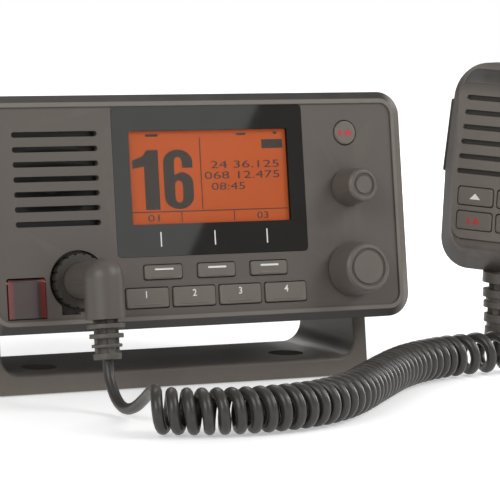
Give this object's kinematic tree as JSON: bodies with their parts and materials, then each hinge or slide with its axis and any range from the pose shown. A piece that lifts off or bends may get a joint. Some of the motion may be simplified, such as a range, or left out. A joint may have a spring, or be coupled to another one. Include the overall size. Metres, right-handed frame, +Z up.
{
  "type": "fixed-mount marine radio",
  "caption": "Fixed-mount marine radio on a tilting gimbal bracket, with keys, two knobs and a hand microphone on a curly cord.",
  "frame": {"origin": "centre of the flat underside of the gimbal bracket", "axes": "+Z up, +X to the right as seen from the front, the radio faces -Y"},
  "size_m": [0.2483, 0.222, 0.1192],
  "materials": {
    "bezel_plastic": "fine moulded grain",
    "board_green": "solder mask",
    "bracket_paint": "fine satin powder coat",
    "contact_brass": "gold flash",
    "cord_rubber": "satin",
    "display_orange": "backlit",
    "distress_button_red": "satin",
    "distress_red": "smoked translucent red",
    "foam": "foam",
    "frame_white": "plain",
    "gland_rubber": "matte",
    "handset_plastic": "fine moulded grain",
    "housing_cast": "black coated casting",
    "key_rubber": "satin",
    "knob_plastic": "satin",
    "knob_rubber": "fluted grip",
    "mat_rubber": "translucent",
    "module_black": "moulded",
    "pin_steel": "bright",
    "screw_steel": "plain",
    "seal_rubber": "matte",
    "socket_chrome": "nickel plated",
    "socket_plastic": "moulded",
    "speaker_metal": "black",
    "tin_plate": "tinned",
    "window_glass": "clear, dark border behind"
  },
  "bodies": {
    "bracket": {"gimbal_bracket": "bracket_paint", "cord_lead": "cord_rubber", "cord_coil": "cord_rubber", "cord_tail": "cord_rubber"},
    "radio": {"front_bezel": "bezel_plastic", "display_window": "window_glass", "lcd_panel": "display_orange", "lcd_frame": "frame_white", "keypad_mat": "mat_rubber", "front_board": "board_green", "loudspeaker": "speaker_metal", "speaker_gasket": "foam", "rear_housing": "housing_cast", "housing_seal": "seal_rubber", "main_board": "board_green", "shield_can": "tin_plate", "power_module": "module_black", "case_screws": "screw_steel", "board_screws": "screw_steel", "antenna_socket": "socket_chrome", "lead_glands": "gland_rubber", "mic_socket": "socket_plastic", "volume_encoder": "module_black", "select_encoder": "module_black", "cover_hinge_pin": "pin_steel", "distress_switch": "module_black", "plug_elbow": "cord_rubber", "plug_contacts": "contact_brass", "plug_strain_relief": "cord_rubber", "friction_washers": "seal_rubber"},
    "gimbal_knob_left": {"gimbal_knob_left": "knob_rubber"},
    "gimbal_knob_right": {"gimbal_knob_right": "knob_rubber"},
    "soft_key_left": {"soft_key_left": "key_rubber"},
    "soft_key_middle": {"soft_key_middle": "key_rubber"},
    "soft_key_right": {"soft_key_right": "key_rubber"},
    "main_key_1": {"main_key_1": "key_rubber"},
    "main_key_2": {"main_key_2": "key_rubber"},
    "main_key_3": {"main_key_3": "key_rubber"},
    "main_key_4": {"main_key_4": "key_rubber"},
    "power_key": {"power_key": "key_rubber"},
    "distress_button": {"distress_button": "distress_button_red"},
    "distress_cover": {"distress_cover": "distress_red"},
    "volume_shaft": {"volume_shaft": "pin_steel"},
    "volume_knob": {"volume_knob": "knob_plastic"},
    "select_shaft": {"select_shaft": "pin_steel"},
    "select_knob": {"select_knob": "knob_plastic"},
    "plug_collar": {"plug_collar": "socket_plastic"},
    "handset": {"handset_front_shell": "handset_plastic", "handset_rear_shell": "handset_plastic", "handset_board": "board_green", "handset_speaker": "speaker_metal", "microphone_capsule": "tin_plate", "handset_strain_relief": "cord_rubber", "handset_screws": "screw_steel", "hanger_button": "socket_plastic"},
    "ptt_button": {"ptt_button": "key_rubber"},
    "up_key": {"up_key": "key_rubber"},
    "down_key": {"down_key": "key_rubber"},
    "handset_left_key": {"handset_left_key": "key_rubber"},
    "handset_right_key": {"handset_right_key": "key_rubber"}
  },
  "joints": [
    {"name": "gimbal_tilt", "type": "hinge", "parent": "bracket", "child": "radio", "pos_m": [0, 0, 0.061], "axis": [1, 0, 0], "range_deg": [-10, 8], "deforming": ["cord_lead"]},
    {"name": "gimbal_knob_left_turn", "type": "hinge", "parent": "bracket", "child": "gimbal_knob_left", "pos_m": [-0.08, 0, 0.061], "axis": [1, 0, 0], "continuous": true},
    {"name": "gimbal_knob_right_turn", "type": "hinge", "parent": "bracket", "child": "gimbal_knob_right", "pos_m": [0.08, 0, 0.061], "axis": [1, 0, 0], "continuous": true},
    {"name": "soft_key_left_press", "type": "slide", "parent": "radio", "child": "soft_key_left", "axis": [0, 0.989, -0.1478], "range_m": [0, 0.0006], "stiffness_N_per_m": 1500, "springref_m": -0.0003},
    {"name": "soft_key_middle_press", "type": "slide", "parent": "radio", "child": "soft_key_middle", "axis": [0, 0.989, -0.1478], "range_m": [0, 0.0006], "stiffness_N_per_m": 1500, "springref_m": -0.0003},
    {"name": "soft_key_right_press", "type": "slide", "parent": "radio", "child": "soft_key_right", "axis": [0, 0.989, -0.1478], "range_m": [0, 0.0006], "stiffness_N_per_m": 1500, "springref_m": -0.0003},
    {"name": "main_key_1_press", "type": "slide", "parent": "radio", "child": "main_key_1", "axis": [0, 0.989, -0.1478], "range_m": [0, 0.0006], "stiffness_N_per_m": 1500, "springref_m": -0.0003},
    {"name": "main_key_2_press", "type": "slide", "parent": "radio", "child": "main_key_2", "axis": [0, 0.989, -0.1478], "range_m": [0, 0.0006], "stiffness_N_per_m": 1500, "springref_m": -0.0003},
    {"name": "main_key_3_press", "type": "slide", "parent": "radio", "child": "main_key_3", "axis": [0, 0.989, -0.1478], "range_m": [0, 0.0006], "stiffness_N_per_m": 1500, "springref_m": -0.0003},
    {"name": "main_key_4_press", "type": "slide", "parent": "radio", "child": "main_key_4", "axis": [0, 0.989, -0.1478], "range_m": [0, 0.0006], "stiffness_N_per_m": 1500, "springref_m": -0.0003},
    {"name": "power_key_press", "type": "slide", "parent": "radio", "child": "power_key", "axis": [0, 0.989, -0.1478], "range_m": [0, 0.0006], "stiffness_N_per_m": 1500, "springref_m": -0.0003},
    {"name": "distress_button_press", "type": "slide", "parent": "radio", "child": "distress_button", "axis": [0, 0.989, -0.1478], "range_m": [0, 0.0006], "stiffness_N_per_m": 1500, "springref_m": -0.0003},
    {"name": "distress_cover_lift", "type": "hinge", "parent": "radio", "child": "distress_cover", "pos_m": [-0.06955, -0.0409, 0.04269], "axis": [-1, 0, 0], "range_deg": [0, 95], "stiffness_Nm_per_rad": 0.002, "springref_deg": -20.05},
    {"name": "volume_push", "type": "slide", "parent": "radio", "child": "volume_shaft", "axis": [0, 0.989, -0.1478], "range_m": [0, 0.0005], "stiffness_N_per_m": 1500, "springref_m": -0.0003},
    {"name": "volume_turn", "type": "hinge", "parent": "volume_shaft", "child": "volume_knob", "pos_m": [0.061, -0.04305, 0.07401], "axis": [0, 0.989, -0.1478], "continuous": true},
    {"name": "select_push", "type": "slide", "parent": "radio", "child": "select_shaft", "axis": [0, 0.989, -0.1478], "range_m": [0, 0.0005], "stiffness_N_per_m": 1500, "springref_m": -0.0003},
    {"name": "select_turn", "type": "hinge", "parent": "select_shaft", "child": "select_knob", "pos_m": [0.061, -0.0476, 0.04354], "axis": [0, 0.989, -0.1478], "continuous": true},
    {"name": "plug_collar_turn", "type": "hinge", "parent": "radio", "child": "plug_collar", "pos_m": [-0.0494, -0.04168, 0.04256], "axis": [0, 0.989, -0.1478], "range_deg": [0, 60]},
    {"name": "handset_slide", "type": "slide", "parent": "bracket", "child": "handset", "axis": [1, 0, 0], "range_m": [0, 0.04]},
    {"name": "talk_press", "type": "slide", "parent": "handset", "child": "ptt_button", "axis": [0.5595, -0.8202, -0.1194], "range_m": [0, 0.0012], "stiffness_N_per_m": 1500, "springref_m": -0.0003},
    {"name": "up_key_press", "type": "slide", "parent": "handset", "child": "up_key", "axis": [0.8261, 0.5635, 0], "range_m": [0, 0.0006], "stiffness_N_per_m": 1500, "springref_m": -0.0003},
    {"name": "down_key_press", "type": "slide", "parent": "handset", "child": "down_key", "axis": [0.8261, 0.5635, 0], "range_m": [0, 0.0006], "stiffness_N_per_m": 1500, "springref_m": -0.0003},
    {"name": "handset_left_key_press", "type": "slide", "parent": "handset", "child": "handset_left_key", "axis": [0.8261, 0.5635, 0], "range_m": [0, 0.0006], "stiffness_N_per_m": 1500, "springref_m": -0.0003},
    {"name": "handset_right_key_press", "type": "slide", "parent": "handset", "child": "handset_right_key", "axis": [0.8261, 0.5635, 0], "range_m": [0, 0.0006], "stiffness_N_per_m": 1500, "springref_m": -0.0003}
  ]
}
